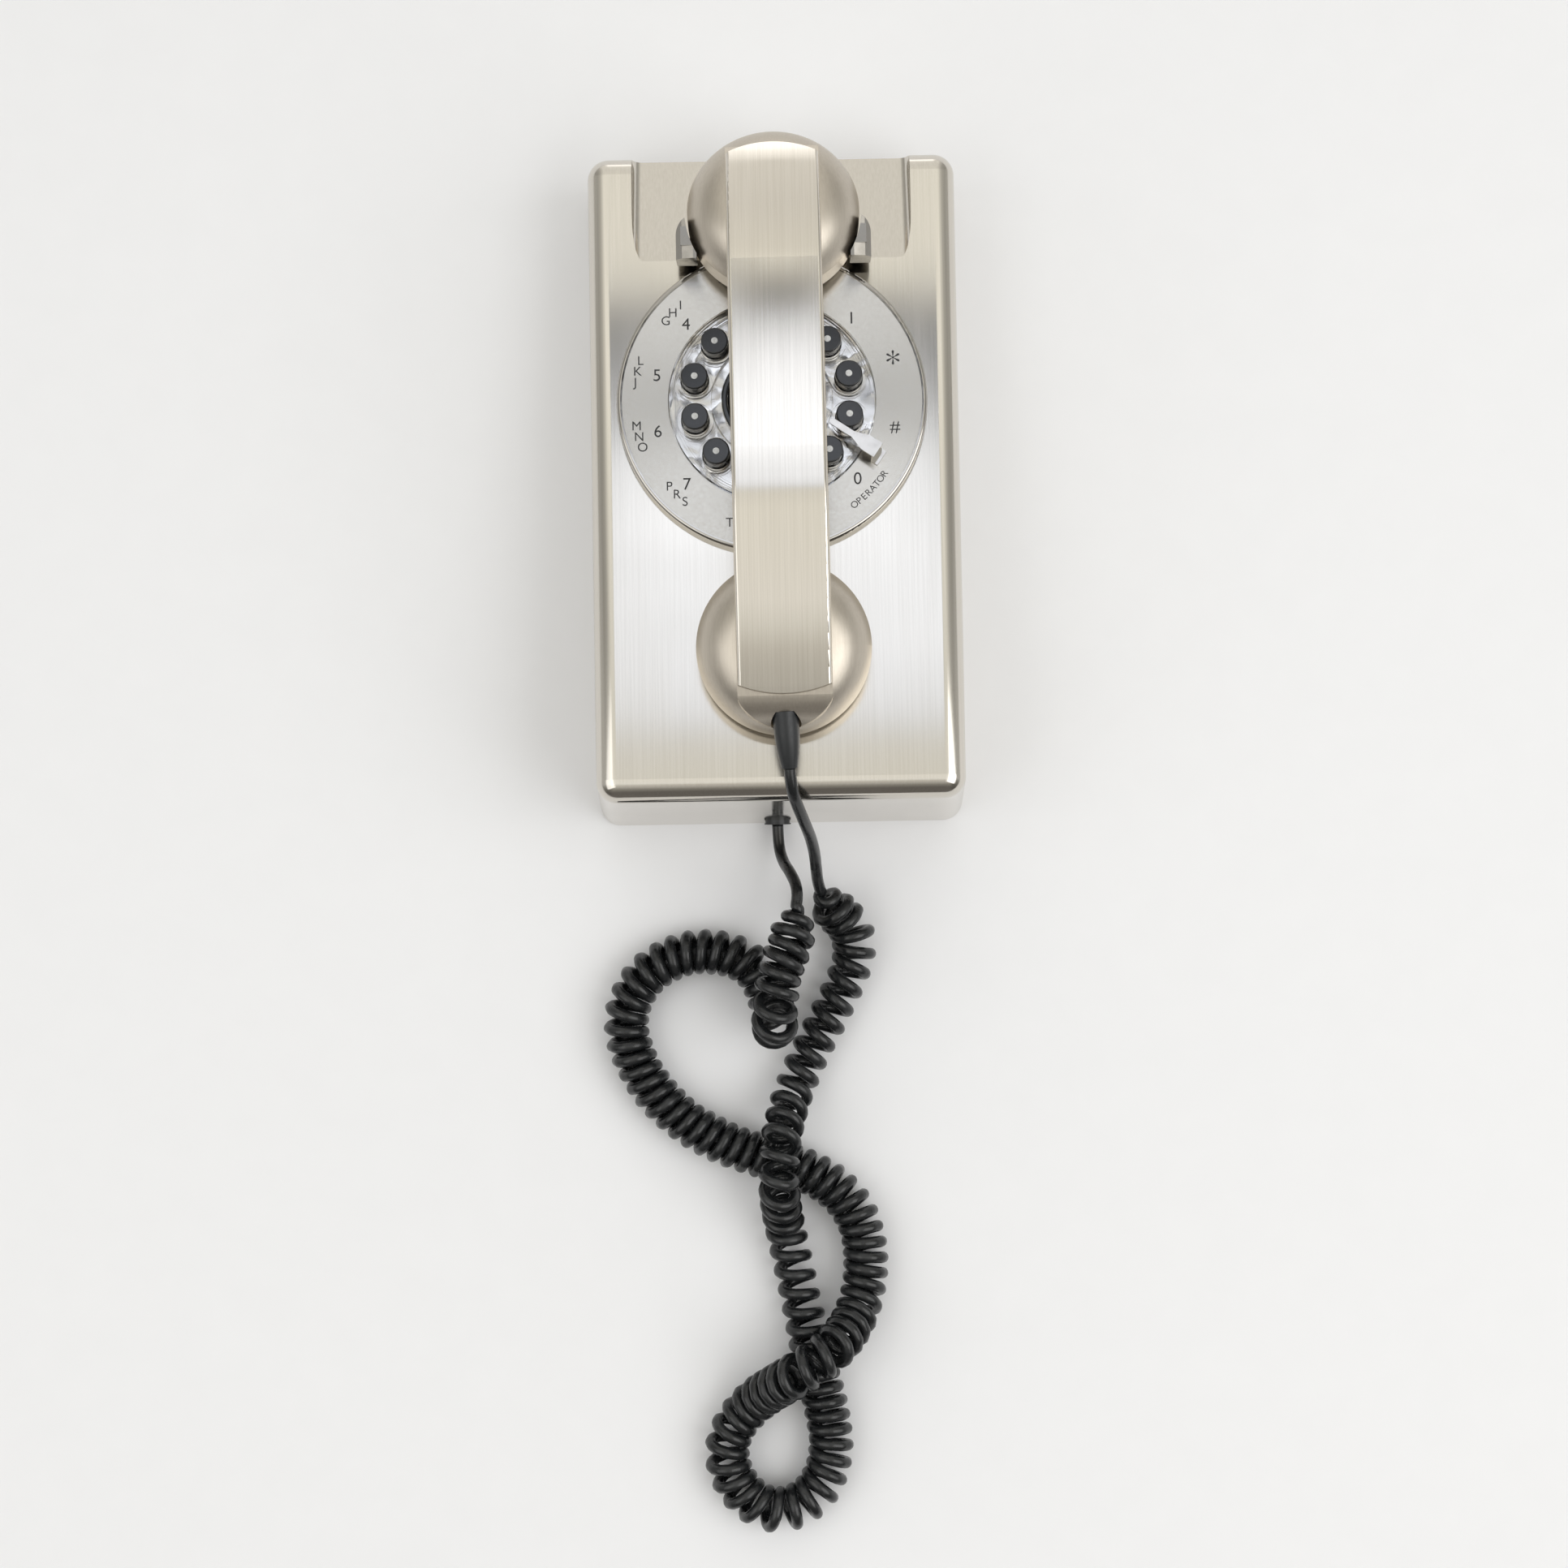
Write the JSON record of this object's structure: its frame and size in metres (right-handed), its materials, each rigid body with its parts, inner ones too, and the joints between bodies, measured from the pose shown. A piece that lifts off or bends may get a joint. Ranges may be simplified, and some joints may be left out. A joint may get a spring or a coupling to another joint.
{
  "type": "wall telephone",
  "caption": "Retro wall telephone with a tilted brushed metal-look housing, push buttons in a round dial, handset on a hook and a curly cord.",
  "frame": {"origin": "centre of the flat back, in the wall plane", "axes": "+Z out of the front, +Y towards the earpiece end (up on the wall), +X across"},
  "size_m": [0.1341, 0.5042, 0.1061],
  "materials": {
    "brushed_nickel": "brushed nickel finish on a moulded housing",
    "satin_nickel": "satin brushed nickel finish",
    "strip_nickel": "brushed lengthwise",
    "ring_nickel": "fine circular brushing",
    "polished_chrome": "polished",
    "hook_nickel": "polished nickel",
    "clear_plastic": "clear polished plastic",
    "gloss_black": "glossy moulded",
    "dark_window": "dark tinted window",
    "zinc_steel": "zinc plated",
    "circuit_board": "green solder mask",
    "black_plastic": "moulded",
    "inner_plastic": "moulded",
    "black_rubber": "moulded rubber",
    "black_cord": "glossy vinyl cord jacket",
    "dial_frame_grey": "moulded frame behind the clear dish"
  },
  "bodies": {
    "base": {"base_lead": "black_cord", "base_plate": "zinc_steel", "base_screws": "zinc_steel", "board_components": "black_plastic", "board_posts": "inner_plastic", "cord_grommet": "black_rubber", "curly_cord": "black_cord", "dial_bezel": "polished_chrome", "dial_centre_ring": "gloss_black", "dial_centre_window": "dark_window", "dial_clear_dish": "clear_plastic", "dial_frame": "dial_frame_grey", "dial_hub_ring": "clear_plastic", "dial_number_ring": "ring_nickel", "finger_stop": "polished_chrome", "handset_lead": "black_cord", "hook_bracket": "zinc_steel", "hook_pivot_pin": "zinc_steel", "hook_spring": "zinc_steel", "hook_switch": "black_plastic", "housing_shell": "brushed_nickel", "keypad_board": "circuit_board", "keypad_mat": "black_rubber", "line_plug": "clear_plastic", "main_board": "circuit_board", "plug_holder": "inner_plastic", "ringer": "black_plastic", "screw_bosses": "inner_plastic"},
    "hook": {"hook_cradle": "hook_nickel"},
    "switch_plunger": {"switch_plunger": "inner_plastic"},
    "handset": {"handset_shell": "satin_nickel", "handset_strip": "strip_nickel", "earpiece_cap": "satin_nickel", "mouthpiece_cap": "satin_nickel", "receiver_capsule": "black_plastic", "transmitter_capsule": "black_plastic", "handset_weight": "zinc_steel", "handset_boot": "black_rubber"},
    "button_0": {"button_0": "gloss_black"},
    "button_1": {"button_1": "gloss_black"},
    "button_2": {"button_2": "gloss_black"},
    "button_3": {"button_3": "gloss_black"},
    "button_4": {"button_4": "gloss_black"},
    "button_5": {"button_5": "gloss_black"},
    "button_6": {"button_6": "gloss_black"},
    "button_7": {"button_7": "gloss_black"},
    "button_8": {"button_8": "gloss_black"},
    "button_9": {"button_9": "gloss_black"},
    "button_hash": {"button_hash": "gloss_black"},
    "button_star": {"button_star": "gloss_black"}
  },
  "joints": [
    {"name": "handset_lift", "type": "slide", "parent": "base", "child": "handset", "axis": [0, 0, 1], "range_m": [0, 0.06]},
    {"name": "hook_pivot", "type": "hinge", "parent": "base", "child": "hook", "pos_m": [0, 0.06, 0.024], "axis": [1, 0, 0], "range_deg": [0, 6]},
    {"name": "switch_plunge", "type": "slide", "parent": "base", "child": "switch_plunger", "axis": [0, 0, 1], "range_m": [-0.002, 0]},
    {"name": "button_0_press", "type": "slide", "parent": "base", "child": "button_0", "axis": [0, -0.1305, -0.9914], "range_m": [0, 0.0018], "stiffness_N_per_m": 250},
    {"name": "button_1_press", "type": "slide", "parent": "base", "child": "button_1", "axis": [0, -0.1305, -0.9914], "range_m": [0, 0.0018], "stiffness_N_per_m": 250},
    {"name": "button_2_press", "type": "slide", "parent": "base", "child": "button_2", "axis": [0, -0.1305, -0.9914], "range_m": [0, 0.0018], "stiffness_N_per_m": 250},
    {"name": "button_3_press", "type": "slide", "parent": "base", "child": "button_3", "axis": [0, -0.1305, -0.9914], "range_m": [0, 0.0018], "stiffness_N_per_m": 250},
    {"name": "button_4_press", "type": "slide", "parent": "base", "child": "button_4", "axis": [0, -0.1305, -0.9914], "range_m": [0, 0.0018], "stiffness_N_per_m": 250},
    {"name": "button_5_press", "type": "slide", "parent": "base", "child": "button_5", "axis": [0, -0.1305, -0.9914], "range_m": [0, 0.0018], "stiffness_N_per_m": 250},
    {"name": "button_6_press", "type": "slide", "parent": "base", "child": "button_6", "axis": [0, -0.1305, -0.9914], "range_m": [0, 0.0018], "stiffness_N_per_m": 250},
    {"name": "button_7_press", "type": "slide", "parent": "base", "child": "button_7", "axis": [0, -0.1305, -0.9914], "range_m": [0, 0.0018], "stiffness_N_per_m": 250},
    {"name": "button_8_press", "type": "slide", "parent": "base", "child": "button_8", "axis": [0, -0.1305, -0.9914], "range_m": [0, 0.0018], "stiffness_N_per_m": 250},
    {"name": "button_9_press", "type": "slide", "parent": "base", "child": "button_9", "axis": [0, -0.1305, -0.9914], "range_m": [0, 0.0018], "stiffness_N_per_m": 250},
    {"name": "button_hash_press", "type": "slide", "parent": "base", "child": "button_hash", "axis": [0, -0.1305, -0.9914], "range_m": [0, 0.0018], "stiffness_N_per_m": 250},
    {"name": "button_star_press", "type": "slide", "parent": "base", "child": "button_star", "axis": [0, -0.1305, -0.9914], "range_m": [0, 0.0018], "stiffness_N_per_m": 250}
  ],
  "couplings": [
    {"joint": "switch_plunge", "follows": "hook_pivot", "m_per_rad": -0.0155}
  ]
}
